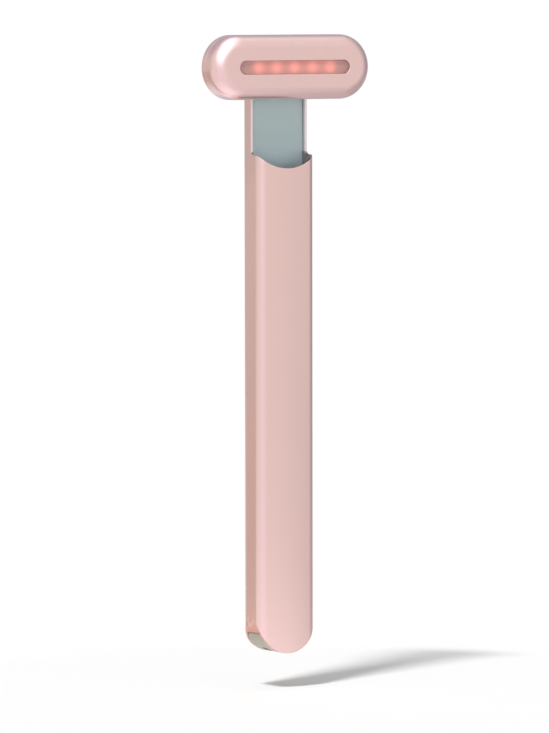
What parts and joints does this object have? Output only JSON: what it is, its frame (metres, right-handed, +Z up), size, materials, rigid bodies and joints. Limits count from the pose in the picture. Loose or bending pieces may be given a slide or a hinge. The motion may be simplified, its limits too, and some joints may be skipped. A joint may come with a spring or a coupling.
{
  "type": "heated eye massager wand",
  "caption": "T-shaped heated light and massage wand for the eye area, whose head swivels down in line with its slim handle.",
  "frame": {"origin": "under the middle of the wand's width and depth, at the lowest point of the handle's round foot", "axes": "+Z up the handle to the head, -Y to the front where the light strip faces, +X to the head's right end as seen from the front"},
  "size_m": [0.0474, 0.0128, 0.1585],
  "materials": {
    "pink_shell": "satin, fine metallic",
    "pink_head": "satin gloss, fine metallic",
    "button_pink": "satin",
    "carrier_teal": "smooth satin",
    "plug_grey": "satin",
    "light_window": "translucent",
    "led_glow": "lit",
    "pipe_clear": "clear",
    "steel": "plain",
    "bush_brass": "turned",
    "washer_white": "smooth",
    "board_green": "solder mask",
    "chip_black": "moulded",
    "switch_red": "moulded",
    "film_amber": "film",
    "cell_foil": "foil",
    "foam_grey": "soft",
    "weight_tungsten": "sintered",
    "wire_jacket": "jacket"
  },
  "bodies": {
    "handle": {"handle_shell": "pink_shell", "inner_carrier": "carrier_teal", "end_plug": "plug_grey", "charge_socket": "steel", "socket_tongue": "chip_black", "port_board": "board_green", "charge_flex": "film_amber", "indicator_led": "pipe_clear", "indicator_pipe": "pipe_clear", "battery": "cell_foil", "battery_pad": "foam_grey", "battery_tabs": "steel", "main_board": "board_green", "control_chip": "chip_black", "charge_chip": "chip_black", "board_screws": "steel", "switch_body": "chip_black", "motor_can": "steel", "motor_boot": "foam_grey", "motor_tabs": "steel", "handle_flex": "film_amber", "pivot_bush": "bush_brass", "friction_washer": "washer_white", "wave_washer": "steel"},
    "head": {"head_front_shell": "pink_head", "head_back_shell": "pink_head", "light_window": "light_window", "led_board": "board_green", "led_chips": "led_glow", "heater_film": "film_amber", "thermistor": "chip_black", "led_board_screws": "steel", "pivot_spindle": "steel", "retaining_clip": "steel", "head_wires": "wire_jacket"},
    "button": {"power_button": "button_pink", "switch_plunger": "switch_red"},
    "rotor": {"motor_shaft": "steel", "eccentric_weight": "weight_tungsten"}
  },
  "joints": [
    {"name": "head_swivel", "type": "hinge", "parent": "handle", "child": "head", "pos_m": [0, 0, 0.1502], "axis": [0, 1, 0], "range_deg": [-90, 90]},
    {"name": "button_press", "type": "slide", "parent": "handle", "child": "button", "axis": [0, -1, 0], "range_m": [0, 0.0003], "stiffness_N_per_m": 1500, "springref_m": -0.0003},
    {"name": "motor_spin", "type": "hinge", "parent": "handle", "child": "rotor", "pos_m": [0, 0.0015, 0.1], "axis": [0, 0, 1], "continuous": true}
  ]
}
